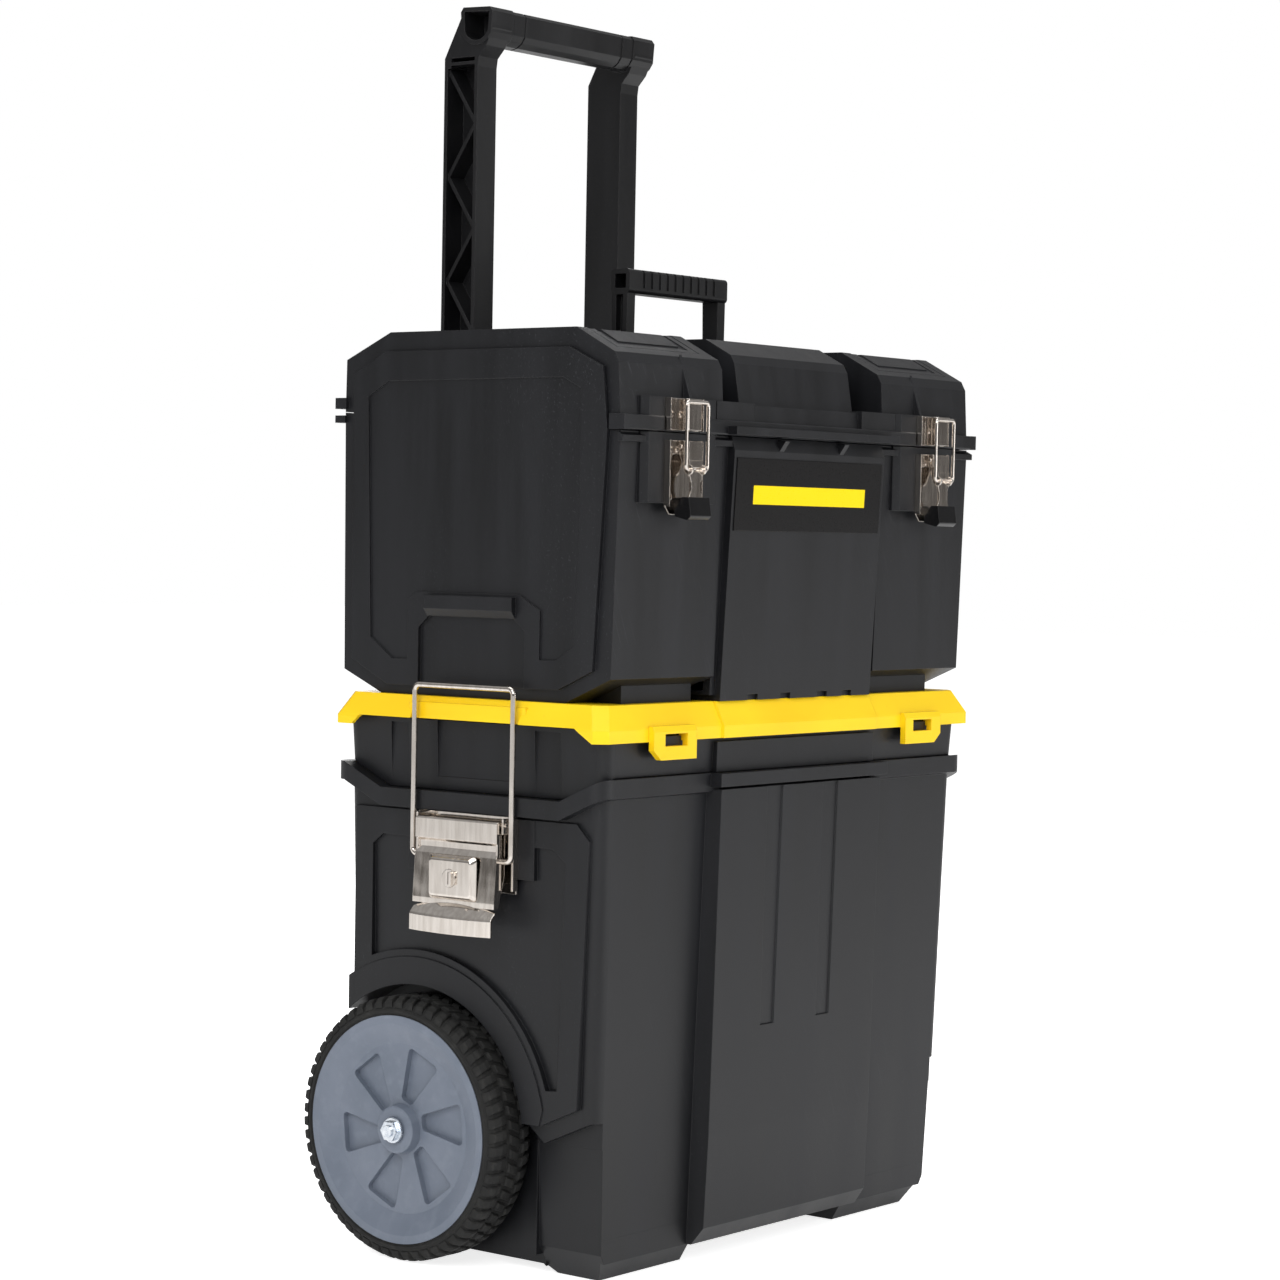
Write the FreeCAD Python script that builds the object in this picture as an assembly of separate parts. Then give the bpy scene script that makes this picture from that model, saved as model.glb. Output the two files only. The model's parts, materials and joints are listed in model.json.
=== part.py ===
"""Rolling tool box: a wheeled bin, a parts tray with a yellow lid, and a tool box that stands on top.

Millimetres. +Z is up and the front faces -Y. The two halves mirror each other about X = 0, apart from
four small notches under the front of the tool box.
Z = 0 is the floor, and the origin is the middle of the footprint.
Each function makes one sub-part. The right-hand one of a pair is made and the left one mirrored.
"""
import FreeCAD, Part
import math
import os
from FreeCAD import Vector

# --- driving dimensions ---------------------------------------------------------------------
WALL = 3.0
FIT = 0.4                    # gap between pieces that lift apart

BIN_SIDE_LOW, BIN_SIDE_HIGH = 203.0, 207.0
BIN_FRONT_LOW, BIN_FRONT_HIGH = -104.5, -113.2
BIN_REAR_LOW, BIN_REAR_HIGH = 108.0, 114.3
BIN_FLOOR, BIN_WALL_TOP, RIM_TOP = 13.7, 325.0, 336.0
RIM_SIDE, RIM_FRONT, RIM_REAR = 215.6, -117.8, 121.0
RIM_DIP = 15.5               # the rim drops between the two slopes on each end
RIM_DIP_HALF = 198.0         # the dip is cut only outside this
FOOT_INNER, FOOT_SIDE, FOOT_TIP = 90.6, 194.5, 178.0
WELL_SIDE = 184.0            # inboard wall of the wheel well
PLATEAU_HALF = 93.0
REAR_NOTCH_HALF, REAR_NOTCH_Y = 98.0, 92.0   # room for the pull handle behind the bin, tray and lid

AXLE_Y, AXLE_Z = 45.5, 90.1
WHEEL_R, HUB_R, ARCH_R = 90.1, 77.6, 97.0
WHEEL_INNER, WHEEL_OUTER = 189.0, 229.0
AXLE_R, AXLE_END = 6.0, 237.5

LID_SIDE, LID_DEPTH, LID_LOW, LID_TOP = 219.7, 120.4, 359.6, 384.0

BOX_SIDE = 205.0
BLOCK_INNER = 94.6
BOX_NOTCH_Y = 70.0           # the tool box is notched at the back to clear the raised handle
HINGE_Y, HINGE_Z = 128.5, 576.0
BOX_TOP = 629.0
SEAM_FRONT_Z, SEAM_REAR_Z = 562.0, 575.0

LEG_IN, LEG_OUT = 70.6, 91.0
LEG_FRONT, LEG_REAR, LEG_LOW, LEG_TOP = 107.6, 138.8, 262.0, 828.0
GRIP_HALF, SLEEVE_HALF, GRIP_TOP = 92.4, 68.0, 865.5
GUIDE_REAR = 142.0

LOCK_PIVOT_X, LOCK_PIVOT_Z = 218.0, 302.0
LEVER_FACE = 224.5           # outside of the side lever's flat band
LIP_BOW, LIP_REACH = 132.0, 10.0
BAIL_X, BAIL_PIVOT_Z, BAIL_TOP_Z, BAIL_HALF, BAIL_R = 218.5, 278.0, 392.0, 43.5, 2.0

LATCH_X, LATCH_PIVOT_Y, LATCH_PIVOT_Z = 147.5, -131.5, 553.0
LINK_Y, LINK_LOW_Z, LINK_TOP_Z, LINK_HALF, LINK_R = -137.6, 538.0, 582.0, 11.5, 1.3

CARRY_Y, CARRY_Z, CARRY_HALF, CARRY_TOP = 2.0, 611.0, 56.7, 680.4
ORGANIZER_HINGE_Y, ORGANIZER_HINGE_Z = 58.0, 626.1


# --- helpers --------------------------------------------------------------------------------
def box(x, y, z):
    """Block between three (low, high) pairs."""
    return Part.makeBox(x[1] - x[0], y[1] - y[0], z[1] - z[0], Vector(x[0], y[0], z[0]))


def prism(points, axis, low, high):
    """Closed outline carried along an axis. Points hold the other two coordinates, in X, Y, Z order."""
    seat = {
        "x": lambda a, b: Vector(low, a, b),
        "y": lambda a, b: Vector(a, low, b),
        "z": lambda a, b: Vector(a, b, low),
    }[axis]
    ring = [seat(a, b) for a, b in points]
    face = Part.Face(Part.makePolygon(ring + ring[:1]))
    way = {"x": Vector(1, 0, 0), "y": Vector(0, 1, 0), "z": Vector(0, 0, 1)}[axis]
    return face.extrude(way * (high - low))


def rod(radius, start, end):
    """Round bar from one point to another."""
    a, b = Vector(*start), Vector(*end)
    return Part.makeCylinder(radius, (b - a).Length, a, b - a)


def join(first, *rest):
    return first.fuse(list(rest)).removeSplitter() if rest else first


def cut(first, *tools):
    return first.cut(list(tools))


def mirrored(shape):
    return shape.mirror(Vector(0, 0, 0), Vector(1, 0, 0))


def both(shape):
    """A right-hand feature and its mirror image, as a list."""
    return [shape, mirrored(shape)]


def rounded(half, front, rear, z, radius):
    """Rounded rectangle at height z, symmetric about X = 0."""
    centres = [(half - radius, front + radius, -90), (half - radius, rear - radius, 0),
               (radius - half, rear - radius, 90), (radius - half, front + radius, 180)]

    def at(centre, degrees):
        turn = math.radians(degrees)
        return Vector(centre[0] + radius * math.cos(turn), centre[1] + radius * math.sin(turn), z)

    edges = []
    for i, centre in enumerate(centres):
        a = centre[2]
        edges.append(Part.Arc(at(centre, a), at(centre, a + 45), at(centre, a + 90)).toShape())
        after = centres[(i + 1) % 4]
        edges.append(Part.LineSegment(at(centre, a + 90), at(after, after[2])).toShape())
    return Part.Wire(edges)


def loft(*wires):
    return Part.makeLoft(list(wires), True, True)


def bent_wire(points, radius, bend):
    """Round wire along straight runs with bends of one radius."""
    pts = [Vector(*p) for p in points]
    edges = []
    last = pts[0]
    for before, corner, after in zip(pts, pts[1:], pts[2:]):
        back = (before - corner).normalize()
        on = (after - corner).normalize()
        half_turn = back.getAngle(on) / 2
        run = bend / math.tan(half_turn)
        middle = (back + on).normalize() * (bend / math.sin(half_turn) - bend)
        edges.append(Part.LineSegment(last, corner + back * run).toShape())
        edges.append(Part.Arc(corner + back * run, corner + middle, corner + on * run).toShape())
        last = corner + on * run
    edges.append(Part.LineSegment(last, pts[-1]).toShape())
    path = Part.Wire(edges)
    circle = Part.Wire(Part.Circle(pts[0], pts[1] - pts[0], radius).toShape())
    return path.makePipeShell([circle], True, False)


def edges_along(shape, way, test):
    """Straight edges parallel to a direction whose middle passes a test."""
    found = []
    for edge in shape.Edges:
        if len(edge.Vertexes) == 2 and edge.Curve.TypeId == "Part::GeomLine":
            run = edge.Vertexes[1].Point - edge.Vertexes[0].Point
            if run.Length > 0.5 and run.normalize().cross(way).Length < 0.02 and test(edge.CenterOfMass):
                found.append(edge)
    return found


def eased(shape, size, way, test=lambda p: True):
    """Fillets the straight edges along a direction, where the shape allows it."""
    chosen = edges_along(shape, way, test)
    return shape.makeFillet(size, chosen) if chosen else shape


ALONG_X, ALONG_Y, ALONG_Z = Vector(1, 0, 0), Vector(0, 1, 0), Vector(0, 0, 1)


# --- wheeled bin ----------------------------------------------------------------------------
def side_cut(grow):
    """What is taken off each end of the bin under the fender: the step and the wheel arch."""
    below = -50
    profile = [(-140, below), (-140, 109 + grow), (-103, 109 + grow), (-65, 92 + grow),
               (-50, 104 + grow), (AXLE_Y, AXLE_Z), (160, AXLE_Z), (160, below)]
    step = prism(profile, "x", FOOT_SIDE - grow, 260)
    arch = rod(ARCH_R + grow, (WELL_SIDE - grow, AXLE_Y, AXLE_Z), (260, AXLE_Y, AXLE_Z))
    behind = box((WELL_SIDE - grow, 260), (AXLE_Y - ARCH_R - grow, 160), (-40, AXLE_Z))
    return both(step) + both(arch) + both(behind)


def foot_slope(grow):
    """What is taken off the outside of each front foot, which leans in towards the floor."""
    below_step = 91 + grow
    return prism([(FOOT_TIP - grow, -1), (FOOT_SIDE - 3.5 - grow, 20), (FOOT_SIDE - 0.7 - grow, below_step),
                  (FOOT_SIDE + 20, below_step), (FOOT_SIDE + 20, -1)], "y", -140, -52)


def rear_notch(half, y, low, high):
    return box((-half, half), (y, 170), (low, high))


def lower_bin():
    outer = loft(rounded(BIN_SIDE_LOW, BIN_FRONT_LOW, BIN_REAR_LOW, BIN_FLOOR, 10),
                 rounded(BIN_SIDE_HIGH, BIN_FRONT_HIGH, BIN_REAR_HIGH, RIM_TOP, 10))
    inner = loft(rounded(BIN_SIDE_LOW - WALL, BIN_FRONT_LOW + WALL, BIN_REAR_LOW - WALL, BIN_FLOOR + WALL, 7),
                 rounded(BIN_SIDE_HIGH - WALL, BIN_FRONT_HIGH + WALL, BIN_REAR_HIGH - WALL, RIM_TOP + 1, 7))
    inner = cut(inner, *side_cut(WALL), *both(foot_slope(WALL)),
                rear_notch(REAR_NOTCH_HALF + WALL, REAR_NOTCH_Y, 0, 400))
    # The proud middle of the front, with two shallow flutes.
    plateau_front = [(-108.0, BIN_FLOOR), (-117.0, BIN_FLOOR + 12), (-119.5, 90), (-124.0, BIN_WALL_TOP),
                     (-100, BIN_WALL_TOP), (-98, BIN_FLOOR)]
    plateau = prism(plateau_front, "x", -PLATEAU_HALF, PLATEAU_HALF)
    shoulder = prism([(-PLATEAU_HALF - 7, -98), (-PLATEAU_HALF, -132), (PLATEAU_HALF, -132),
                      (PLATEAU_HALF + 7, -98)], "z", 0, 400)
    plateau_wide = prism(plateau_front, "x", -PLATEAU_HALF - 7, PLATEAU_HALF + 7)
    plateau = plateau.fuse(plateau_wide.common(shoulder))
    hollow = prism([(-112.5, 30), (-120.0, BIN_WALL_TOP + 20), (-90, BIN_WALL_TOP + 20), (-90, 30)],
                   "x", WALL - PLATEAU_HALF, PLATEAU_HALF - WALL)
    flutes = [prism([(s - 6.5, -117.5), (s - 10, -126), (s + 10, -126), (s + 6.5, -117.5)], "z", 154, 340)
              for s in (-33.0, 33.0)]
    flute_way = prism([(-140, 154), (-140, 340), (-123.1, 340), (-119.6, 160)], "x", -60, 60)
    flutes = [f.common(flute_way) for f in flutes]
    # Front feet, with a sloping toe.
    toe = prism([(-93, 0), (-58, 0), (-50, 6), (18, 6), (30, BIN_FLOOR + 1), (-60, 60), (-105.0, 30),
                 (-103.5, 18)], "x", FOOT_INNER, FOOT_SIDE)
    slope = foot_slope(0)
    well = box((WELL_SIDE, 260), (-52, 160), (-5, AXLE_Z))
    foot = cut(toe, slope, well)
    body = outer.fuse([plateau] + both(foot))
    body = cut(body, *side_cut(0), *both(slope), rear_notch(REAR_NOTCH_HALF, REAR_NOTCH_Y + WALL, -1, 400))
    # Rim: a band that dips on the ends.
    ring = cut(loft(rounded(RIM_SIDE, RIM_FRONT, RIM_REAR, 300, 14),
                    rounded(RIM_SIDE, RIM_FRONT, RIM_REAR, RIM_TOP, 14)),
               loft(rounded(BIN_SIDE_HIGH - 2, BIN_FRONT_HIGH + 2, BIN_REAR_HIGH - 2, 299, 8),
                    rounded(BIN_SIDE_HIGH - 2, BIN_FRONT_HIGH + 2, BIN_REAR_HIGH - 2, 340, 8)))
    ring = ring.fuse(box((-PLATEAU_HALF - 6, PLATEAU_HALF + 6), (-127.0, -112), (RIM_TOP - 9, RIM_TOP)))
    band = prism(rim_line(-12.5) + [(150, 250), (-150, 250)], "x", -230, 230)
    ring = cut(ring, band)
    over = prism(rim_line(0) + [(150, 400), (-150, 400)], "x", -230, 230)
    middle = box((-RIM_DIP_HALF, RIM_DIP_HALF), (-150, 150), (300, 400))
    ring = ring.fuse(body)
    ring = cut(ring, cut(over, middle), inner, hollow, *flutes,
               rear_notch(REAR_NOTCH_HALF, REAR_NOTCH_Y + WALL, 200, 400))
    bores = both(rod(AXLE_R, (WELL_SIDE - 30, AXLE_Y, AXLE_Z), (WELL_SIDE + 9, AXLE_Y, AXLE_Z)))
    return cut(join(ring, *end_panels(), *axle_bosses()), *bores)


def rim_line(shift):
    """Rim height along an end, front to rear."""
    low = RIM_TOP - RIM_DIP
    return [(-150, RIM_TOP + shift), (-116, RIM_TOP + shift), (-82, low + shift), (76, low + shift),
            (110, RIM_TOP + shift), (150, RIM_TOP + shift)]


def end_panels():
    """Raised frame, fender and lock pad on each end of the bin."""
    high, low = BIN_SIDE_HIGH - 1.5, BIN_SIDE_LOW - 2
    frame = prism([(-92, 306), (-103, 295), (-96, 118), (-65, 104), (-48, 112), (104, 170), (104, 262),
                   (104, 306)], "x", low, high + 3.5)
    window = prism([(-72, 288), (-83, 280), (-79, 129), (-70, 128), (AXLE_Y, 128), (88, 190), (88, 281),
                    (79, 288)], "x", low - 1, high + 6)
    window = cut(window, rod(ARCH_R + 24, (low - 2, AXLE_Y, AXLE_Z), (high + 9, AXLE_Y, AXLE_Z)))
    fender = rod(ARCH_R + 19, (low, AXLE_Y, AXLE_Z), (high + 4.5, AXLE_Y, AXLE_Z))
    limit = prism([(-65, 104), (-71, 128), (-71, 230), (108, 230), (108, 150), (AXLE_Y, AXLE_Z), (-50, 104)],
                  "x", low - 1, high + 9)
    arch = rod(ARCH_R, (low - 2, AXLE_Y, AXLE_Z), (high + 9, AXLE_Y, AXLE_Z))
    pad = box((low, high + 4.0), (-57, 55), (266, 306))
    panel = cut(frame, window).fuse([fender.common(limit), pad])
    return both(cut(panel, arch))


def axle_bosses():
    return both(rod(15, (WELL_SIDE - 26, AXLE_Y, AXLE_Z), (WELL_SIDE + 3.5, AXLE_Y, AXLE_Z)))


def handle_guide():
    """Channel on the back of the bin that the right leg slides in."""
    play = 0.6
    shell = box((LEG_IN - 4, LEG_OUT + 3.6), (REAR_NOTCH_Y + WALL, GUIDE_REAR), (18, 330))
    slot = box((LEG_IN - play, LEG_OUT + play), (LEG_FRONT - play, LEG_REAR + play), (22, 340))
    return eased(cut(shell, slot), 2.0, ALONG_Z, lambda p: p.y > GUIDE_REAR - 1 and p.z < 330)


# --- wheels ---------------------------------------------------------------------------------
def around_axle(profile):
    """Turned shape on the right-hand wheel's axis, from (x, radius) points."""
    ring = [Vector(x, AXLE_Y, AXLE_Z + r) for x, r in profile]
    face = Part.Face(Part.makePolygon(ring + ring[:1]))
    return face.revolve(Vector(0, AXLE_Y, AXLE_Z), Vector(1, 0, 0), 360)


def tyre():
    crown = [(WHEEL_INNER, HUB_R), (WHEEL_INNER, WHEEL_R - 6), (WHEEL_INNER + 3, WHEEL_R - 1.5),
             (WHEEL_INNER + 9, WHEEL_R), (WHEEL_OUTER - 9, WHEEL_R), (WHEEL_OUTER - 3, WHEEL_R - 1.5),
             (WHEEL_OUTER, WHEEL_R - 6), (WHEEL_OUTER, HUB_R)]
    return around_axle(crown)


def hub():
    bore = AXLE_R + 0.06
    dish = WHEEL_OUTER - 7
    disc = around_axle([(WHEEL_INNER + 2, bore), (WHEEL_INNER + 2, 17), (dish - 6, 17), (dish - 6, 70),
                        (WHEEL_INNER, 71), (WHEEL_INNER, HUB_R), (WHEEL_OUTER - 0.5, HUB_R),
                        (WHEEL_OUTER - 0.5, 72), (dish, 58), (dish, 17), (WHEEL_OUTER, 16),
                        (WHEEL_OUTER + 0.5, 14.5), (WHEEL_OUTER + 0.5, bore)])
    pockets = []
    for i in range(6):
        wedge = prism([(AXLE_Y - 2, AXLE_Z + 18.5), (AXLE_Y - 15, AXLE_Z + 53), (AXLE_Y + 14, AXLE_Z + 55),
                       (AXLE_Y + 8, AXLE_Z + 18.5)], "x", dish - 4.5, WHEEL_OUTER + 5)
        wedge = eased(wedge, 3.0, ALONG_X)
        wedge.rotate(Vector(0, AXLE_Y, AXLE_Z), Vector(1, 0, 0), 20 + 60 * i)
        pockets.append(wedge)
    return cut(disc, *pockets)


def axle_bolt():
    """Stub axle with its head inside the bin."""
    stem = rod(AXLE_R, (WELL_SIDE - 28, AXLE_Y, AXLE_Z), (WHEEL_OUTER + 2, AXLE_Y, AXLE_Z))
    thread = rod(4.0, (WHEEL_OUTER + 1, AXLE_Y, AXLE_Z), (AXLE_END, AXLE_Y, AXLE_Z))
    head = rod(11, (WELL_SIDE - 32, AXLE_Y, AXLE_Z), (WELL_SIDE - 26, AXLE_Y, AXLE_Z))
    return join(stem, thread, head)


def axle_washer():
    return around_axle([(WHEEL_OUTER + 2, 4.0), (WHEEL_OUTER + 2, 9), (WHEEL_OUTER + 3.4, 8.5),
                        (WHEEL_OUTER + 3.4, 4.0)])


def axle_nut():
    start = WHEEL_OUTER + 3.4
    corners = [(AXLE_Y + 7.2 * math.cos(math.radians(60 * i)), AXLE_Z + 7.2 * math.sin(math.radians(60 * i)))
               for i in range(6)]
    nut = prism(corners, "x", start, start + 3.6)
    return cut(nut, rod(4.0, (start - 1, AXLE_Y, AXLE_Z), (start + 9, AXLE_Y, AXLE_Z)))


# --- side locks (right-hand end) --------------------------------------------------------------
LOCK_FACE = BIN_SIDE_HIGH + 2.5      # outside of the lock pad
LOCK_PLATE_FACE = LOCK_FACE + 1.5


def lock_plate():
    plate = box((LOCK_FACE, LOCK_PLATE_FACE), (-43, 41), (256, 307))
    edges = [box((LOCK_FACE, LOCK_FACE + 5), span, (258, 307)) for span in ((-43, -41.5), (39.5, 41))]
    ears = [box((LOCK_FACE, LOCK_PIVOT_X + 3), (a, a + 1.5), (LOCK_PIVOT_Z - 6, LOCK_PIVOT_Z + 4.5))
            for a in (-39.6, 36.1)]
    whole = eased(join(plate, *edges, *ears), 0.6, ALONG_X, lambda p: p.x > LOCK_FACE + 6)
    return cut(whole, lock_pin())


def lock_pin():
    return rod(1.5, (LOCK_PIVOT_X, -40.6, LOCK_PIVOT_Z), (LOCK_PIVOT_X, 38.6, LOCK_PIVOT_Z))


def lock_rivets():
    """Domed heads on the lock plate, under the closed lever."""
    heads = []
    for y in (-28, 26):
        for z in (272, 292):
            dome = Part.makeSphere(4.5, Vector(LOCK_PLATE_FACE - 2.2, y, z))
            above = box((LOCK_PLATE_FACE, LOCK_PLATE_FACE + 5), (y - 6, y + 6), (z - 6, z + 6))
            heads.append(dome.common(above))
    return heads


def lever_lip():
    """Finger lip under the lever's face: a sloping shelf and a band, both bowed outwards."""
    centre = LEVER_FACE + LIP_REACH - LIP_BOW
    section = [(LIP_BOW - 9.6, 248.4), (LIP_BOW - 8.6, 248.6), (LIP_BOW - 0.6, 240.0), (LIP_BOW, 238.6),
               (LIP_BOW, 228), (LIP_BOW - 1.5, 228), (LIP_BOW - 1.5, 238.2), (LIP_BOW - 9.6, 246.4)]
    ring = [Vector(centre + r, -1, z) for r, z in section]
    whole = Part.Face(Part.makePolygon(ring + ring[:1])).revolve(Vector(centre, -1, 0), ALONG_Z, 360)
    return whole.common(box((LEVER_FACE + 0.4, LEVER_FACE + 20), (-37, 35), (226, 250)))


def lock_lever():
    """Bent sheet lever: flat top band, swept face, side flanges and a curved lip."""
    face = LEVER_FACE
    skin = prism([(face - 1, 304), (face, 303), (face, 290), (face - 2.5, 288), (face - 2.5, 284),
                  (face, 280), (face + 2, 250), (face + 2, 246.5), (face + 0.4, 246),
                  (face - 4.2, 283), (face - 4.2, 289), (face - 1.8, 291),
                  (face - 1.8, 302), (face - 4, 302), (face - 4, 304)], "y", -37, 35)
    flange = prism([(LOCK_PIVOT_X - 2, 304), (face - 1, 304), (face - 1, 282), (face + 1, 247),
                    (face - 3, 247), (LOCK_PIVOT_X - 2, 268)], "y", -37, -35.5)
    other = flange.copy()
    other.translate(Vector(0, 70.5, 0))
    lever = join(skin, flange, other, lever_lip())
    holes = [rod(1.56, (LOCK_PIVOT_X, -50, LOCK_PIVOT_Z), (LOCK_PIVOT_X, 50, LOCK_PIVOT_Z)),
             rod(BAIL_R + 0.08, (BAIL_X, -50, BAIL_PIVOT_Z), (BAIL_X, 50, BAIL_PIVOT_Z))]
    seat = rod(6.06, (face - 8, -1, 265), (face + 12, -1, 265))
    return cut(lever, seat, *holes)


def key_plate():
    """Square domed plate around the key barrel."""
    face = LEVER_FACE
    low = [(-22, 250), (20, 250), (20, 280), (-22, 280)]
    dome = loft(Part.makePolygon([Vector(face + 2.2, y, z) for y, z in low + low[:1]]),
                Part.makePolygon([Vector(face + 6, y * 0.86 - 0.14, 265 + (z - 265) * 0.82)
                                  for y, z in low + low[:1]]))
    dome = dome.makeFillet(3.6, [e for e in dome.Edges if abs(e.BoundBox.XLength) > 2])
    rim = [e for e in dome.Edges if e.BoundBox.XMin > face + 5.5]
    dome = dome.makeFillet(2.0, rim)
    lever_face = prism([(face - 3, 300), (face - 2.4, 285), (face, 280), (face + 2, 250), (face + 2, 240),
                        (face - 10, 240), (face - 10, 300)], "y", -40, 40)
    return cut(dome, lever_face, rod(6.06, (face - 8, -1, 265), (face + 12, -1, 265)))


def key_barrel():
    face = LEVER_FACE
    barrel = rod(6.0, (face - 6, -1, 265), (face + 6.6, -1, 265))
    slot = box((face + 3, face + 8), (-1.9, -0.1), (261, 269))
    tab = box((face + 5, face + 9.5), (-5.4, -3.4), (260.5, 269.5))
    return join(cut(barrel, slot), tab.common(rod(5.9, (face, -1, 265), (face + 12, -1, 265))))


def lock_bail():
    inner = 34.0
    points = [(BAIL_X, -inner - 1, BAIL_PIVOT_Z), (BAIL_X, -BAIL_HALF - 1, BAIL_PIVOT_Z),
              (BAIL_X, -BAIL_HALF - 1, BAIL_TOP_Z), (BAIL_X, BAIL_HALF - 1, BAIL_TOP_Z),
              (BAIL_X, BAIL_HALF - 1, BAIL_PIVOT_Z), (BAIL_X, inner - 1, BAIL_PIVOT_Z)]
    return bent_wire(points, BAIL_R, 4.0)


# --- parts tray and its lid ---------------------------------------------------------------------
def parts_tray():
    play = FIT
    low = RIM_TOP + play
    skirt = loft(rounded(BIN_SIDE_HIGH - 2.5, -111.5, BIN_REAR_HIGH - 2, 300, 9),
                 rounded(BIN_SIDE_HIGH + 0.5, -115.5, BIN_REAR_HIGH + 1, 368, 9))
    above = cut(prism(rim_line(play) + [(150, 400), (-150, 400)], "x", -230, 230),
                box((-RIM_DIP_HALF - play, RIM_DIP_HALF + play), (-150, 150), (280, low)))
    band = skirt.common(above)
    tub = loft(rounded(196, -103, 104, 250, 8), rounded(200, -106, 107, 345, 8))
    tray = band.fuse(tub)
    inner = loft(rounded(193, -100, 101, 253, 6), rounded(197.4, -103.4, 104.4, 345, 6),
                 rounded(BIN_SIDE_HIGH - 3, -112, BIN_REAR_HIGH - 3, 352, 6),
                 rounded(BIN_SIDE_HIGH - 2.5, -112.5, BIN_REAR_HIGH - 2.5, 369, 6))
    notch = REAR_NOTCH_HALF + WALL + 2 * FIT
    inner = cut(inner, rear_notch(notch + WALL, REAR_NOTCH_Y - 6, 0, 400))
    tray = cut(tray, inner, rear_notch(notch, REAR_NOTCH_Y - 3, 0, 400))
    # Relief on the ends: three shallow panels and a recess behind the bail.
    reliefs = []
    for a, b in ((-76, -54), (58, 74)):
        reliefs += both(box((BIN_SIDE_HIGH - 1.4, 230), (a, b), (324.5, 365)))
    reliefs += both(box((BIN_SIDE_HIGH - 1.6, 230), (-34, 32), (330, 372)))
    # Proud middle of the front, and the hooks that the lid's clips close over.
    plateau = prism([(-118.0, low), (-118.4, 357), (-112, 357), (-110, low)], "x", -PLATEAU_HALF, PLATEAU_HALF)
    hooks = both(prism([(-119.9, 356), (-119.9, 362.8), (-112, 364), (-112, 349)],
                       "x", LATCH_X - 12, LATCH_X + 10))
    return join(cut(tray, *reliefs), plateau, *hooks)


def yellow_lid():
    inset = 9.0
    tier = 368.0

    def slab(grow, top_drop):
        side, depth = LID_SIDE - grow, LID_DEPTH - grow
        return loft(chamfered(side, depth, 350, 8), chamfered(side, depth, tier - top_drop * 0.4, 8),
                    chamfered(side - inset, depth - inset + 1, LID_TOP - top_drop, 8))

    shell = slab(0, 0)
    proud = prism([(-LID_DEPTH - 2, 350), (-LID_DEPTH - 2, tier), (-LID_DEPTH + inset - 3, LID_TOP),
                   (-90, LID_TOP), (-90, 350)], "x", -91, 91)
    shell = shell.fuse(proud)
    hollow = slab(WALL, WALL)
    hollow = cut(hollow, rear_notch(REAR_NOTCH_HALF + FIT + WALL, REAR_NOTCH_Y - 6, 0, 400))
    shell = cut(shell, hollow, rear_notch(REAR_NOTCH_HALF + FIT, REAR_NOTCH_Y - 3, 0, 400))
    under = prism([(-150, LID_LOW), (-112, LID_LOW), (-97, 369), (93, 369), (100, 362.5), (150, 362.5),
                   (150, 300), (-150, 300)], "x", -230, 230)
    shell = cut(shell, under)
    # Each end is set back between the bail's legs, so the lid lifts past it. A stiff wall closes the recess.
    bail_low, bail_high = -BAIL_HALF - 1, BAIL_HALF - 1
    recess = box((BAIL_X - 4.2, 230), (bail_low - 4.2, bail_high + 4.2), (350, 400))
    backing = box((BAIL_X - 9, BAIL_X - 3), (bail_low - 8, bail_high + 8), (369, 380))
    shell = cut(shell.fuse(both(backing)), *both(recess))
    # Snap clips: a tab with a window, over the tray's hooks.
    tab = prism([(LATCH_X - 23, tier + 2), (LATCH_X - 23, 347.5), (LATCH_X + 15, 347.5), (LATCH_X + 23, 354),
                 (LATCH_X + 23, tier + 2)], "y", -LID_DEPTH - 4.5, -LID_DEPTH)
    window = box((LATCH_X - 13, LATCH_X + 11), (-130, -119), (356.5, 364.7))
    slope = prism([(-LID_DEPTH - 4.6, tier - 2), (-LID_DEPTH - 4.6, 400), (-LID_DEPTH - 1, 400),
                   (-LID_DEPTH - 1, tier + 6)], "x", 0, 300)
    skirt_gap = box((LATCH_X - 13, LATCH_X + 11), (-LID_DEPTH - 1, -LID_DEPTH + 3.2), (350, 364.7))
    tabs = both(cut(tab, window, slope))
    return join(cut(shell, *both(skirt_gap)), *tabs)


def chamfered(side, depth, z, corner):
    """Rectangle with cut corners at height z."""
    pts = [(-side + corner, -depth), (side - corner, -depth), (side, -depth + corner), (side, depth - corner),
           (side - corner, depth), (-side + corner, depth), (-side, depth - corner), (-side, -depth + corner)]
    ring = [Vector(x, y, z) for x, y in pts]
    return Part.makePolygon(ring + ring[:1])


# --- tool box body --------------------------------------------------------------------------
BODY_SIDE_PROFILE = [(-77, 384), (-115, 401), (-119.5, SEAM_FRONT_Z), (123, SEAM_REAR_Z), (121, 399), (86, 384)]
BODY_MID_PROFILE = [(-116.5, 384), (-125, 553), (-122, SEAM_FRONT_Z), (123, SEAM_REAR_Z), (121, 399), (86, 384)]
PANEL_OUTLINE = [(83.5, 616), (-78, 616), (-106.5, 603), (-111, SEAM_FRONT_Z), (-102, 406), (-73, 392.6),
                 (78, 390), (112, 407), (112.6, 601)]
PANEL_RECESS = [(80, 596), (-73, 596.5), (-88.5, 589), (-89, 500), (-86, 422), (-71, 412), (74, 408),
                (94, 422), (99, 586)]
PANEL_IN, PANEL_OUT = BOX_SIDE + FIT, BOX_SIDE + 3.2


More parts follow.
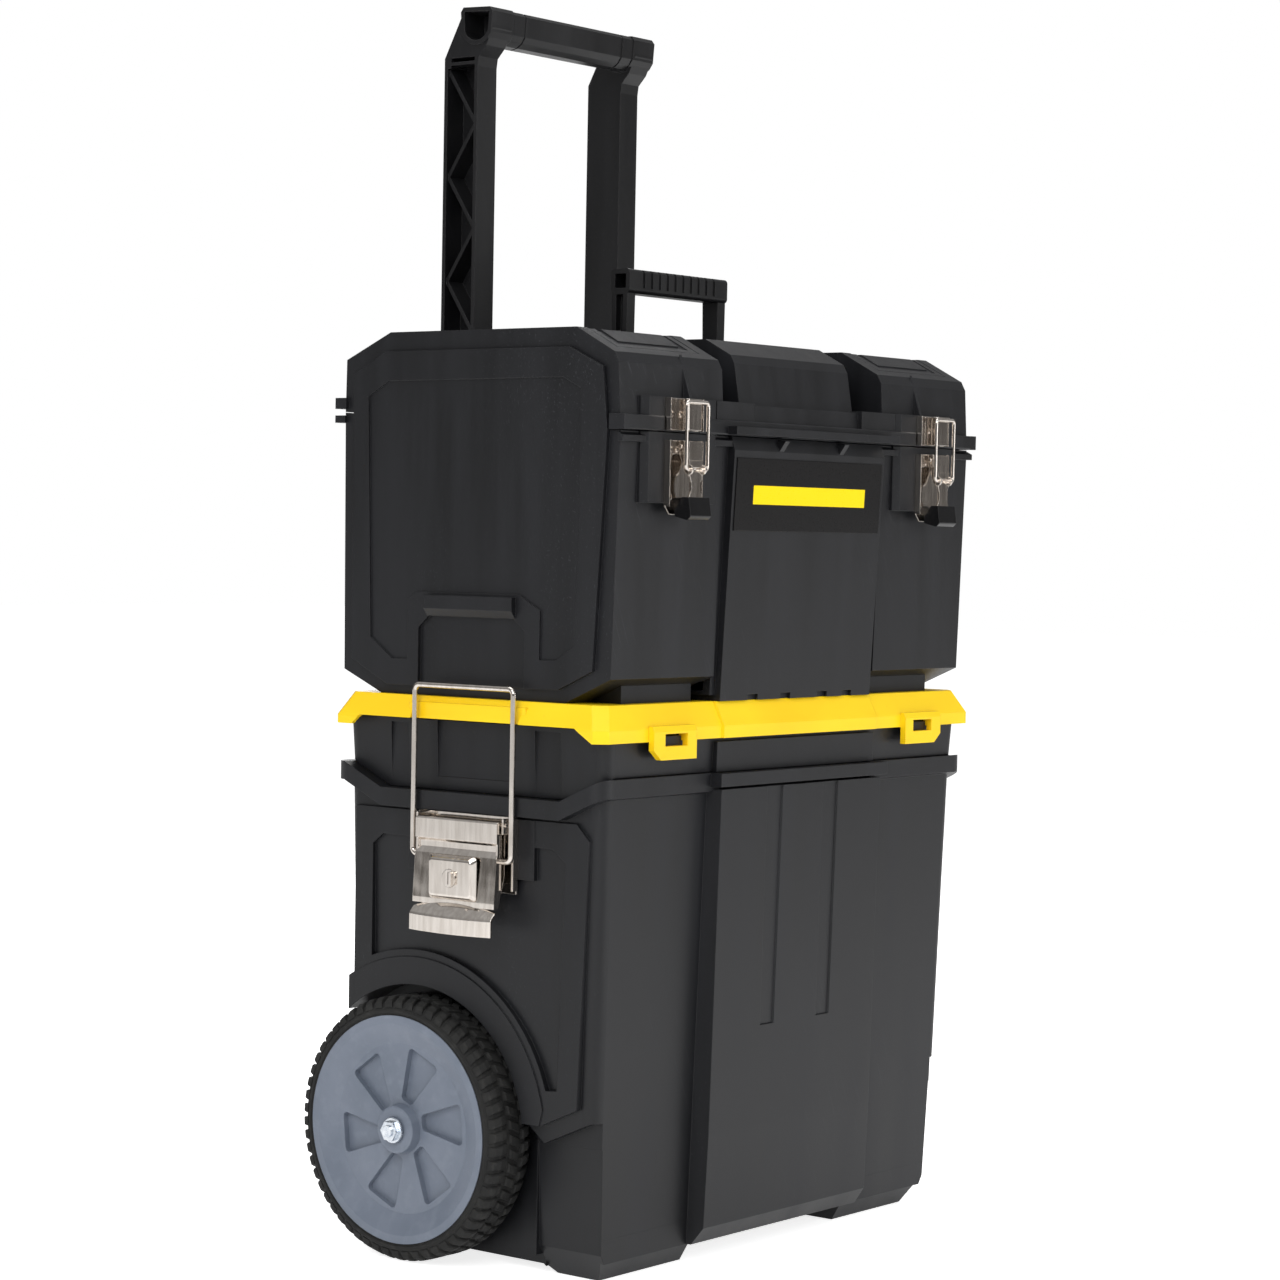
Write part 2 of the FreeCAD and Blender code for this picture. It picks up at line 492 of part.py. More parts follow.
def inset_profile(points, amount):
    """The same outline moved inwards by an amount, found with an offset in its own plane."""
    ring = [Vector(0, a, b) for a, b in points]
    wire = Part.makePolygon(ring + ring[:1])
    moved = wire.makeOffset2D(-amount, 2)
    return [(v.Point.y, v.Point.z) for v in moved.OrderedVertexes]


def box_body():
    sides = both(prism(BODY_SIDE_PROFILE, "x", BLOCK_INNER - 0.2, BOX_SIDE))
    middle = prism([(-112, 388)] + BODY_SIDE_PROFILE[2:], "x", -BLOCK_INNER, BLOCK_INNER)
    centre = prism(BODY_MID_PROFILE, "x", -89, 89)
    outer = middle.fuse(sides + [centre])
    side_in = both(prism(open_top(inset_profile(BODY_SIDE_PROFILE, WALL)),
                         "x", BLOCK_INNER + WALL, BOX_SIDE - WALL))
    mid_in = prism(open_top([(-106, 391)] + inset_profile(BODY_SIDE_PROFILE, WALL)[2:]), "x",
                   -BLOCK_INNER - WALL - 1, BLOCK_INNER + WALL + 1)
    centre_in = prism([(-112, 389), (-119, 540), (-119, 600), (-80, 600), (-80, 389)], "x", -85.5, 85.5)
    hollow = mid_in.fuse(side_in + [centre_in])
    hollow = cut(hollow, rear_notch(BLOCK_INNER + WALL, BOX_NOTCH_Y - WALL, 0, 700))
    body = cut(outer, hollow, rear_notch(BLOCK_INNER, BOX_NOTCH_Y, 0, 700))
    rims = [prism([(-119, SEAM_FRONT_Z - 7), (-123, SEAM_FRONT_Z - 7), (-123, SEAM_FRONT_Z - 3),
                   (-119, SEAM_FRONT_Z - 1)], "x", -BOX_SIDE - 2, BOX_SIDE + 2)]
    rims += both(box((188, BOX_SIDE + 3), (121, 130), (568, 573)))
    rims += both(box((BLOCK_INNER + 1, 103), (121, 126), (568, 573)))
    feet = both(box((105, 180), (-104, -78), (384, 396)))
    pads = both(cut(box((106, 186), (-124.5, -115), (516, SEAM_FRONT_Z - 0.2)),
                    prism([(180, -126), (188, -126), (188, -119)], "z", 500, 570),
                    prism([(104, -126), (112, -126), (104, -119)], "z", 500, 570)))
    gussets = both(prism([(-121, 548), (-130, 560.5), (-121, 561.5)], "x", 33, 38))
    notches = [box((a - 6, a + 6), (-130, -114), (380, 388)) for a in (-52, -14, 30, 60)]
    parts = [box_panel(), mirrored(box_panel())] + rims + feet + pads + gussets + body_knuckles()
    return cut(join(body, *parts), *notches)


def open_top(points):
    """Carries the two seam points of an inner outline up, so that the cut opens the top."""
    high = sorted(points, key=lambda p: -p[1])[:2]
    return [(y, z + 60) if (y, z) in high else (y, z) for y, z in points]


def box_panel():
    """Proud end panel, which stands up outside the lid's end wall."""
    panel = prism(PANEL_OUTLINE, "x", PANEL_IN, PANEL_OUT)
    lower = prism([(a, b) for a, b in PANEL_OUTLINE if b < 570] + [(112.6, 573)], "x", BOX_SIDE - 1, PANEL_OUT)
    recess = prism(PANEL_RECESS, "x", PANEL_OUT - 1.4, PANEL_OUT + 5)
    pocket_frame = prism([(60, 380), (60, 449), (52, 454), (-38, 454), (-57, 444), (-57, 411), (-57, 380)],
                         "x", PANEL_IN, PANEL_OUT)
    pocket = prism([(50, 370), (50, 430), (41, 438), (-34, 438), (-44, 430), (-44, 370)], "x",
                   BOX_SIDE + 0.4, PANEL_OUT + 9)
    nose = Part.Face(Part.makePolygon([Vector(x, -36, z) for z, x in
                                       [(438, BOX_SIDE), (438, PANEL_OUT + 0.5), (443, PANEL_OUT + 4.2),
                                        (452, PANEL_OUT + 4.2), (452, BOX_SIDE), (438, BOX_SIDE)]])
                     ).extrude(Vector(0, 78, 0))
    field = prism(PANEL_OUTLINE, "x", PANEL_IN - 3, PANEL_OUT + 9)
    panel = cut(panel.fuse(lower), recess).fuse(pocket_frame.common(field))
    return join(cut(panel, pocket), nose)


def knuckle(x, above, bore):
    """Hinge barrel with its web, for the lid (above the axis) or the body (below it)."""
    barrel = rod(5.0, (x[0], HINGE_Y, HINGE_Z), (x[1], HINGE_Y, HINGE_Z))
    web_z = (HINGE_Z + 0.6, HINGE_Z + 5) if above else (HINGE_Z - 5, HINGE_Z - 1.2)
    web = box(x, (121, HINGE_Y), web_z)
    return cut(barrel.fuse(web), rod(bore, (x[0] - 1, HINGE_Y, HINGE_Z), (x[1] + 1, HINGE_Y, HINGE_Z)))


def body_knuckles():
    return both(knuckle((104, 120), False, 2.0)) + both(knuckle((170, 186), False, 2.0))


def hinge_pin():
    return rod(2.0, (104, HINGE_Y, HINGE_Z), (186, HINGE_Y, HINGE_Z))


# --- tool box lid -----------------------------------------------------------------------------
LID_GAP = 0.4
LID_SIDE_PROFILE = [(-119.5, SEAM_FRONT_Z + LID_GAP), (-117, 606), (-113.5, 612.5), (-81.5, BOX_TOP),
                    (82, BOX_TOP), (122.3, 611), (123, SEAM_REAR_Z + LID_GAP)]
LID_MID_PROFILE = [(-119.5, SEAM_FRONT_Z + LID_GAP), (-112, 580), (-106.5, 612), (-103, 618), (-81.5, BOX_TOP),
                   (82, BOX_TOP), (82, SEAM_REAR_Z + LID_GAP - 2)]
LID_CENTRE_HALF = 67.0
POCKET_X, POCKET_Y, POCKET_Z = (110, 190), (-72, 52), (602, 625)


def box_lid():
    sides = both(prism(LID_SIDE_PROFILE, "x", BLOCK_INNER, BOX_SIDE))
    centre = prism(LID_MID_PROFILE, "x", -LID_CENTRE_HALF, LID_CENTRE_HALF)
    floor = prism([(-119.5, SEAM_FRONT_Z + LID_GAP), (-118, 584), (82, 584), (82, SEAM_REAR_Z + LID_GAP - 2)],
                  "x", -BLOCK_INNER, BLOCK_INNER)
    outer = floor.fuse(sides + [centre])
    side_in = both(prism(open_bottom(inset_profile(LID_SIDE_PROFILE, WALL)),
                         "x", BLOCK_INNER + WALL, BOX_SIDE - WALL))
    centre_in = prism([(-112, 550), (-109, 580), (-103.5, 611), (-80, BOX_TOP - WALL), (80, BOX_TOP - WALL),
                       (80, 550)], "x", WALL - LID_CENTRE_HALF, LID_CENTRE_HALF - WALL)
    floor_in = prism([(-114, 540), (-114, 581), (80, 581), (80, 540)], "x",
                     -BLOCK_INNER - WALL - 1, BLOCK_INNER + WALL + 1)
    hollow = floor_in.fuse(side_in + [centre_in])
    hollow = cut(hollow, rear_notch(BLOCK_INNER + WALL, BOX_NOTCH_Y - WALL, 0, 700))
    tub = both(box((POCKET_X[0] - 8, POCKET_X[1] + 8), (POCKET_Y[0] - 8, ORGANIZER_HINGE_Y + 8),
                   (POCKET_Z[0] - 2.5, BOX_TOP)))
    tub += both(prism([(-79, BOX_TOP), (-79, BOX_TOP - 9), (-104, BOX_TOP - 21), (-112, BOX_TOP - 21),
                       (-112, BOX_TOP)], "x", POCKET_X[0] - 8, POCKET_X[1] + 8))
    well = box((-62, 62), (-80, 22), (596, BOX_TOP))
    hollow = cut(hollow, *tub, well)
    lid = cut(outer, hollow, rear_notch(BLOCK_INNER, BOX_NOTCH_Y, 0, 700))
    # Front rim, the lip in the middle and the latch pads.
    rim = box((-BOX_SIDE - 3.5, BOX_SIDE + 3.5), (-125.2, -117), (SEAM_FRONT_Z + 0.5, 572.5))
    rim = eased(rim, 1.2, ALONG_X, lambda p: p.y < -120)
    corner_rim = both(box((BOX_SIDE - 3, BOX_SIDE + 3.5), (-125.2, -112.5), (SEAM_FRONT_Z + 0.5, 572.5)))
    rear_rim = both(box((188, BOX_SIDE + 3), (120, 130), (HINGE_Z + 1.5, 585)))
    lip = box((-97, 97), (-132.5, -120), (563, 568.5))
    posts = both(box((64, 106), (-122, -105), (568, 585)))
    pads = both(cut(box((106, 186), (-124.5, -112), (SEAM_FRONT_Z + 0.5, 585)),
                    prism([(180, -126), (188, -126), (188, -119)], "z", 560, 600),
                    prism([(104, -126), (112, -126), (104, -119)], "z", 560, 600)))
    fins = both(prism([(-124.0, 584), (-114, 614), (-110, 584)], "x", LATCH_X - 12, LATCH_X - 9.5))
    lid = join(lid, rim, *corner_rim, *rear_rim, lip, *posts, *pads, *fins,
               *both(knuckle((120.6, 169.4), True, 2.07)))
    keeper_seats = both(box((LATCH_X - 19, LATCH_X + 19), (-127, -124.5), (SEAM_FRONT_Z, 590)))
    return cut(lid, *both(organizer_seat()), *both(box(POCKET_X, POCKET_Y, (POCKET_Z[0], 640))), carry_pocket(),
               *carry_bores(), *both(organizer_pin()), *keeper_seats)


def open_bottom(points):
    """Carries the two seam points of an inner outline down, so that the cut opens the underside."""
    low = sorted(points, key=lambda p: p[1])[:2]
    return [(y, z - 60) if (y, z) in low else (y, z) for y, z in points]


def organizer_shape(top, floor, grow, rear):
    """Plate over the pocket's top and front slope, used for the seat and for the cover in it."""
    x0, x1 = POCKET_X[0] - 3 - grow, POCKET_X[1] + 3 + grow
    nose = -106 - grow
    line = [(rear, BOX_TOP + floor), (rear, BOX_TOP + top), (-82, BOX_TOP + top), (nose, BOX_TOP - 12.2 + top),
            (nose + 1.5, BOX_TOP - 12.2 + floor), (-81, BOX_TOP + floor)]
    return prism(line, "x", x0, x1)


def organizer_seat():
    """Recess for the cover, with a round trough for its hinge barrel."""
    trough = rod(3.0, (POCKET_X[0] - 4, ORGANIZER_HINGE_Y, ORGANIZER_HINGE_Z),
                 (POCKET_X[1] + 4, ORGANIZER_HINGE_Y, ORGANIZER_HINGE_Z))
    opening = box((POCKET_X[0] - 4, POCKET_X[1] + 4), (ORGANIZER_HINGE_Y - 3, ORGANIZER_HINGE_Y + 3),
                  (ORGANIZER_HINGE_Z, BOX_TOP + 1))
    return organizer_shape(1.0, -4.3, 1.0, ORGANIZER_HINGE_Y).fuse([trough, opening])


def organizer_lid():
    """Cover of one small-parts pocket: hinge barrel at the back, raised plate in a shallow tray."""
    cover = organizer_shape(-0.5, -3.6, 0.0, ORGANIZER_HINGE_Y)
    barrel = rod(2.4, (POCKET_X[0] - 3, ORGANIZER_HINGE_Y, ORGANIZER_HINGE_Z),
                 (POCKET_X[1] + 3, ORGANIZER_HINGE_Y, ORGANIZER_HINGE_Z))
    tray = prism([(46, BOX_TOP + 1), (46, BOX_TOP - 1.9), (-83, BOX_TOP - 1.9), (-102, BOX_TOP - 11.6),
                  (-103, BOX_TOP - 9), (-83, BOX_TOP + 1)], "x", POCKET_X[0] + 3, POCKET_X[1] - 3)
    plate = prism([(41, BOX_TOP - 0.5), (41, BOX_TOP - 3), (-82, BOX_TOP - 3), (-97, BOX_TOP - 10.5),
                   (-97.8, BOX_TOP - 8.5), (-83, BOX_TOP - 0.5)], "x", POCKET_X[0] + 8, POCKET_X[1] - 8)
    bore = rod(1.06, (0, ORGANIZER_HINGE_Y, ORGANIZER_HINGE_Z), (300, ORGANIZER_HINGE_Y, ORGANIZER_HINGE_Z))
    return cut(join(cut(cover.fuse(barrel), tray), plate), bore)


def organizer_pin():
    return rod(1.0, (POCKET_X[0] - 6, ORGANIZER_HINGE_Y, ORGANIZER_HINGE_Z),
               (POCKET_X[1] + 6, ORGANIZER_HINGE_Y, ORGANIZER_HINGE_Z))


def carry_pocket():
    """Recess in the middle of the lid that the carry handle folds into."""
    return box((-60, 60), (-78, 20), (598.5, BOX_TOP + 1))


def carry_bores():
    return both(rod(3.0, (54, CARRY_Y, CARRY_Z), (64.5, CARRY_Y, CARRY_Z)))


def carry_pin():
    return rod(3.0, (53.2, CARRY_Y, CARRY_Z), (64.5, CARRY_Y, CARRY_Z))


def carry_handle():
    low, high = 663.5, CARRY_TOP
    grip = box((-CARRY_HALF, CARRY_HALF), (-6.3, 10.3), (low, high))
    grip = eased(grip, 3.0, ALONG_X)
    bore = box((-CARRY_HALF - 1, CARRY_HALF + 1), (-2.8, 6.8), (low + 3.5, high - 3.5))
    spots = [9 * i + 4.5 for i in range(-5, 5)]
    slots = [box((x - 1.3, x + 1.3), (-7, -5.0), (low + 4, high + 1)) for x in spots]
    slots += [box((x - 1.3, x + 1.3), (-7, 11), (high - 1.2, high + 1)) for x in spots]
    leg = prism([(-4.5, low + 3), (-4.0, 618), (-4.5, CARRY_Z), (CARRY_Y - 4, CARRY_Z - 6),
                 (CARRY_Y + 4, CARRY_Z - 6), (8.5, CARRY_Z), (8.5, 618), (9.5, low + 3)], "x", 48.0, 56.7)
    hollow = box((51.2, 60), (-0.5, 5.5), (622, low - 1))
    pivot = rod(3.07, (40, CARRY_Y, CARRY_Z), (70, CARRY_Y, CARRY_Z))
    legs = both(cut(leg, hollow, pivot))
    return join(cut(grip, bore, *slots), *legs)


# --- front latches (right-hand one) ---------------------------------------------------------------
def plate_edges(low, high, face):
    """Two shallow flanges on a latch plate."""
    return [box((LATCH_X + a, LATCH_X + a + 1.2), (face - 5, face), (low, high)) for a in (-18, 16.8)]


def latch_plate():
    face = -124.5
    plate = prism([(LATCH_X - 18, 557), (LATCH_X - 18, 514), (LATCH_X - 13, 508.5), (LATCH_X + 13, 508.5),
                   (LATCH_X + 18, 514), (LATCH_X + 18, 557)], "y", face - 1.2, face)
    ear_z = (LATCH_PIVOT_Z - 5, LATCH_PIVOT_Z + 4)
    ears = [box((LATCH_X + a, LATCH_X + a + 1.2), (LATCH_PIVOT_Y - 3, face), ear_z) for a in (-9.8, 8.6)]
    return cut(join(plate, *plate_edges(514, 557, face), *ears), latch_pin())


def latch_pin():
    return rod(1.4, (LATCH_X - 10.4, LATCH_PIVOT_Y, LATCH_PIVOT_Z),
               (LATCH_X + 10.4, LATCH_PIVOT_Y, LATCH_PIVOT_Z))


def latch_keeper():
    face = -124.5
    plate = box((LATCH_X - 18, LATCH_X + 18), (face - 1.2, face), (563.5, 584.5))
    hood = box((LATCH_X - 8, LATCH_X + 8), (face - 11.4, face), (563.5, 584.0))
    hood = eased(hood, 1.5, ALONG_Z, lambda p: p.y < face - 8)
    room = box((LATCH_X - 6.8, LATCH_X + 6.8), (face - 10.2, face - 1.2), (560, 582.8))
    return join(plate, *plate_edges(563.5, 584.5, face), cut(hood, room))


def latch_lever():
    """Channel lever with a tongue at the top and flared sides."""
    front = LATCH_PIVOT_Y - 5.2
    tongue = box((LATCH_X - 7.6, LATCH_X + 7.6), (front, front + 1.2), (543.6, 556.5))
    shank = prism([(LATCH_X - 7.6, 544), (LATCH_X + 7.6, 544), (LATCH_X + 7.6, 536), (LATCH_X + 5.0, 530),
                   (LATCH_X + 5.0, 524), (LATCH_X + 9, 517), (LATCH_X - 9, 517), (LATCH_X - 5.0, 524),
                   (LATCH_X - 5.0, 530), (LATCH_X - 7.6, 536)], "y", front - 0.6, front + 0.9)
    cheeks = []
    for a in (-7.6, 6.4):
        cheeks.append(prism([(front + 0.2, 556.5), (LATCH_PIVOT_Y + 2.4, 556), (LATCH_PIVOT_Y + 2.4, 548),
                             (front + 3.0, 536), (front + 0.2, 534)], "x", LATCH_X + a, LATCH_X + a + 1.2))
    lugs = [rod(3.4, (LATCH_X + a, LINK_Y + 0.8, LINK_LOW_Z), (LATCH_X + a + 1.2, LINK_Y + 0.8, LINK_LOW_Z))
            for a in (-7.6, 6.4)]
    pivot = rod(1.46, (LATCH_X - 20, LATCH_PIVOT_Y, LATCH_PIVOT_Z),
                (LATCH_X + 20, LATCH_PIVOT_Y, LATCH_PIVOT_Z))
    link = rod(LINK_R + 0.06, (LATCH_X - 20, LINK_Y, LINK_LOW_Z), (LATCH_X + 20, LINK_Y, LINK_LOW_Z))
    return cut(join(tongue, shank, *cheeks, *lugs), pivot, link)


def latch_tip():
    """Plastic finger tip pushed over the lever's end."""
    front = LATCH_PIVOT_Y - 5.2
    tip = prism([(front - 3.4, 520), (front - 5.2, 507.5), (front - 2.5, 505), (-128.5, 507.5), (-128.5, 512),
                 (front + 2.5, 520)], "x", LATCH_X - 11, LATCH_X + 11)
    tip = eased(tip, 1.6, ALONG_X, lambda p: p.z < 510)
    slot = box((LATCH_X - 9.05, LATCH_X + 9.05), (front - 0.65, front + 0.95), (516.9, 521))
    return cut(tip, slot)


def latch_link():
    """Wire link: pivots in the lever's lugs and stands in front of the keeper's hood."""
    inner = 4.6
    bar_y = -124.5 - 11.4 - LINK_R - 0.5
    points = [(LATCH_X - inner, LINK_Y, LINK_LOW_Z), (LATCH_X - LINK_HALF, LINK_Y, LINK_LOW_Z),
              (LATCH_X - LINK_HALF, bar_y, LINK_TOP_Z), (LATCH_X + LINK_HALF, bar_y, LINK_TOP_Z),
              (LATCH_X + LINK_HALF, LINK_Y, LINK_LOW_Z), (LATCH_X + inner, LINK_Y, LINK_LOW_Z)]
    return bent_wire(points, LINK_R, 2.6)


def rivets(points, face, radius):
    """Pan-headed rivets: a short cylinder with a sloping shoulder."""
    heads = []
    for x, z in points:
        shank = rod(radius, (x, face, z), (x, face - 0.5, z))
        shoulder = Part.makeCone(radius, radius * 0.6, 0.5, Vector(x, face - 0.5, z), -ALONG_Y)
        heads.append(join(shank, shoulder))
    return heads


def label():
    """Plain plate on the middle of the front, lying on the sloping face."""
    def front(z):
        return -116.5 - (z - 384) * 8.5 / 169

    return prism([(front(499), 499), (front(499) - 0.7, 499), (front(548) - 0.7, 548), (front(548), 548)],
                 "x", -86, 86)


# --- pull handle --------------------------------------------------------------------------------
def grip_outline(grow):
    """D-shaped grip section: flat top, round underside."""
    centre_y, centre_z = 108.2, 852.5
    points = [(122.4 + grow, GRIP_TOP - 3), (120.0 + grow, GRIP_TOP - 0.4 + grow),
              (96.5 - grow, GRIP_TOP - 1.5 + grow), (93.9 - grow, GRIP_TOP - 4)]
    for i in range(1, 8):
        turn = math.radians(180 + 22.5 * i)
        points.append((centre_y + (14.2 + grow) * math.cos(turn), centre_z + (13.2 + grow) * math.sin(turn)))
    return points


def handle_leg():
    web = 3.0
    leg = box((LEG_IN, LEG_OUT), (LEG_FRONT, LEG_REAR), (LEG_LOW, LEG_TOP))
    hollow = box((LEG_IN + web, LEG_OUT + 1), (LEG_FRONT + web, LEG_REAR - web), (LEG_LOW + 4, LEG_TOP - 2))
    period = 74.0
    ribs = []
    z = LEG_TOP - 4
    while z - period / 2 > LEG_LOW + 4:
        bend = z - period / 2
        foot = max(z - period, LEG_LOW + 2)
        for a, b, start, end in ((LEG_REAR - web, LEG_FRONT + web, z, bend),
                                 (LEG_FRONT + web, LEG_REAR - web, bend, foot)):
            slant = [(a, start), (a, start - 5), (b, end - 5), (b, end)]
            ribs.append(prism(slant, "x", LEG_IN + 1, LEG_OUT - 2))
        z -= period
    ribs = [r.common(box((0, 100), (LEG_FRONT + 1, LEG_REAR - 1), (LEG_LOW + 1, LEG_TOP))) for r in ribs]
    neck = prism([(LEG_REAR, LEG_TOP - 4), (LEG_FRONT, LEG_TOP - 4), (LEG_FRONT - 1, LEG_TOP + 3), (100, 838),
                  (93.9, 850), (95, 862), (122, 862), (LEG_REAR, LEG_TOP + 3)], "x", LEG_IN, LEG_OUT)
    neck = cut(neck, box((LEG_IN + web, LEG_OUT + 1), (LEG_FRONT + web, LEG_REAR - 6), (800, LEG_TOP + 3)))
    head = prism(grip_outline(0.6), "x", SLEEVE_HALF, GRIP_HALF)
    mouth = prism(grip_outline(-2.6), "x", SLEEVE_HALF + 3, GRIP_HALF + 1)
    return cut(join(cut(leg, hollow), *ribs, neck, head), mouth)


def handle_grip():
    sleeve = prism(grip_outline(0), "x", -SLEEVE_HALF, SLEEVE_HALF)
    groove = [cut(prism(grip_outline(2), "x", x - 0.8, x + 0.8), prism(grip_outline(-0.7), "x", x - 1, x + 1))
              for x in (-55, 55)]
    core = prism(grip_outline(-3), "x", -SLEEVE_HALF - 1, SLEEVE_HALF + 1)
    return cut(sleeve, core, *groove)


# --- writing ------------------------------------------------------------------------------------
def export(name, solids):
    """Writes one sub-part; several separate solids go in as one group."""
    pieces = []
    for solid in solids:
        pieces += solid.Solids
    shape = pieces[0] if len(pieces) == 1 else Part.makeCompound(pieces)
    shape.exportStep(f"parts/{name}.step")
    print(f"{name}: {len(pieces)} solids, valid {shape.isValid()}, volume {shape.Volume / 1000:.1f} cm3")


def main():
    os.makedirs("parts", exist_ok=True)
    single = {"lower_bin": lower_bin, "parts_tray": parts_tray, "yellow_lid": yellow_lid,
              "box_body": box_body, "box_lid": box_lid, "carry_handle": carry_handle,
              "front_label": label, "handle_grip": handle_grip}
    for name, make in single.items():
        export(name, [make()])
    pairs = {"tyre": tyre, "hub": hub, "lock_plate": lock_plate, "lock_lever": lock_lever,
             "key_plate": key_plate, "key_barrel": key_barrel, "lock_bail": lock_bail,
             "organizer_lid": organizer_lid, "latch_plate": latch_plate, "latch_keeper": latch_keeper,
             "latch_lever": latch_lever, "latch_tip": latch_tip, "latch_link": latch_link,
             "handle_leg": handle_leg}
    for name, make in pairs.items():
        right = make()
        export(name + "_right", [right])
        export(name + "_left", [mirrored(right)])
    groups = {"handle_guides": handle_guide(), "axle_bolts": axle_bolt(), "axle_washers": axle_washer(),
              "axle_nuts": axle_nut(), "lock_pins": lock_pin(), "hinge_pins": hinge_pin(),
              "latch_pins": latch_pin(), "carry_pins": carry_pin(), "organizer_pins": organizer_pin()}
    for name, piece in groups.items():
        export(name, both(piece))
    export("lock_rivets", [r for rivet in lock_rivets() for r in both(rivet)])
    latch_face, head = -125.7, 2.2
    plate_rivets = rivets([(LATCH_X + a, z) for a in (-13, 13) for z in (520, 551)], latch_face, head)
    keeper_rivets = rivets([(LATCH_X + a, 574) for a in (-13, 13)], latch_face, head)
    export("latch_rivets", [r for rivet in plate_rivets for r in both(rivet)])
    export("keeper_rivets", [r for rivet in keeper_rivets for r in both(rivet)])


main()
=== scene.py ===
"""Looks of the rolling tool box: procedural finishes, treaded tyres, studio light and camera.

Metres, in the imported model's own frame. +Z is up and the front faces -Y.
"""
import json
import math

import bmesh
import bpy
from mathutils import Matrix, Vector


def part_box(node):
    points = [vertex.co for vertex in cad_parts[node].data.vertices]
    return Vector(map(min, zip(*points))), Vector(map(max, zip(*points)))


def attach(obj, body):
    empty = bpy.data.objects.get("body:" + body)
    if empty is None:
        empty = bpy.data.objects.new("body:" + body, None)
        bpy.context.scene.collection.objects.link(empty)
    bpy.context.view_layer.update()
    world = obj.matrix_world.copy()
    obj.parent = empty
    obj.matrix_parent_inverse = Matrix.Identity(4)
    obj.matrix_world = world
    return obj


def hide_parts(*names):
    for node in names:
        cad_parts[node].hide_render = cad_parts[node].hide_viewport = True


EDGE_ROUND = 0.0007          # radius that moulded and pressed edges catch the light with
TREAD_DEPTH = 0.0020
TREAD_PITCHES = 58           # blocks around each row
BLOCK_SHARE = 0.74           # how much of a pitch a block fills
BLOCK_ROOT = 0.0012          # how far a block reaches down into the tyre
LATHE_STEPS = 160

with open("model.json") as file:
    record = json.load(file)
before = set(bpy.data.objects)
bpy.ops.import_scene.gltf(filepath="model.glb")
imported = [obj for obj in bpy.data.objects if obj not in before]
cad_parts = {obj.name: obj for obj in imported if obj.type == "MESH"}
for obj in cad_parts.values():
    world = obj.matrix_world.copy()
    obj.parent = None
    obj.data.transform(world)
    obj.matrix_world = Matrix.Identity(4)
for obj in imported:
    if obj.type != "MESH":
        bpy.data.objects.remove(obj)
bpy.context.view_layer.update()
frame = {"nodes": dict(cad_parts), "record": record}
nodes = frame["nodes"]


# --- shader helpers ---------------------------------------------------------------------------
class Finish:
    """One procedural material, built up from patterns in the piece's own coordinates."""

    def __init__(self, name, roughness, metallic=0.0, specular=0.5, coat=0.0, coat_roughness=0.1):
        self.material = bpy.data.materials.new(name)
        self.material.use_nodes = True
        self.nodes = self.material.node_tree.nodes
        self.links = self.material.node_tree.links
        self.shader = self.nodes["Principled BSDF"]
        self.shader.inputs["Roughness"].default_value = roughness
        self.shader.inputs["Metallic"].default_value = metallic
        self.shader.inputs["Specular IOR Level"].default_value = specular
        self.shader.inputs["Coat Weight"].default_value = coat
        self.shader.inputs["Coat Roughness"].default_value = coat_roughness
        self.place = self.nodes.new("ShaderNodeTexCoord").outputs["Object"]

    def node(self, kind, inputs=(), **settings):
        """A node with its settings, and its inputs given as values or sockets."""
        made = self.nodes.new(kind)
        for key, value in settings.items():
            setattr(made, key, value)
        for key, value in dict(inputs).items():
            if isinstance(value, bpy.types.NodeSocket):
                self.links.new(value, made.inputs[key])
            else:
                made.inputs[key].default_value = value
        return made

    def noise(self, scale, detail=3.0, turn=(0, 0, 0), roughness=0.55):
        """Noise with its own scale along each axis, after a turn in degrees."""
        spun = self.node("ShaderNodeMapping", {"Vector": self.place,
                                               "Rotation": [math.radians(a) for a in turn]})
        sized = self.node("ShaderNodeMapping", {"Vector": spun.outputs[0], "Scale": scale})
        return self.node("ShaderNodeTexNoise", {"Vector": sized.outputs[0], "Scale": 1.0, "Detail": detail,
                                                "Roughness": roughness}).outputs["Fac"]

    def between(self, value, low, high, out_low=0.0, out_high=1.0):
        """A pattern stretched from one range to another, and held at its ends."""
        return self.node("ShaderNodeMapRange", {"Value": value, "From Min": low, "From Max": high,
                                                "To Min": out_low, "To Max": out_high}).outputs[0]

    def maths(self, what, a, b):
        return self.node("ShaderNodeMath", {0: a, 1: b}, operation=what).outputs[0]

    def mix(self, share, a, b):
        """Colour a where share is 0 and colour b where it is 1."""
        made = self.node("ShaderNodeMix", {0: share}, data_type="RGBA")
        for socket, value in ((made.inputs[6], a), (made.inputs[7], b)):
            if isinstance(value, bpy.types.NodeSocket):
                self.links.new(value, socket)
            else:
                socket.default_value = (*value, 1.0)
        return made.outputs[2]

    def axis(self, name):
        return self.node("ShaderNodeSeparateXYZ", {0: self.place}).outputs[name]

    def wire(self, **sockets):
        """Connects patterns to the shader: colour, roughness."""
        names = {"colour": "Base Color", "roughness": "Roughness"}
        for key, socket in sockets.items():
            self.links.new(socket, self.shader.inputs[names[key]])

    def relief(self, *layers):
        """Rounded edges, then bump layers of (height, depth in metres, strength)."""
        normal = self.node("ShaderNodeBevel", {"Radius": EDGE_ROUND}, samples=4).outputs[0]
        for height, depth, strength in layers:
            normal = self.node("ShaderNodeBump", {"Height": height, "Distance": depth, "Strength": strength,
                                                  "Normal": normal}).outputs[0]
        self.links.new(normal, self.shader.inputs["Normal"])
        return self.material


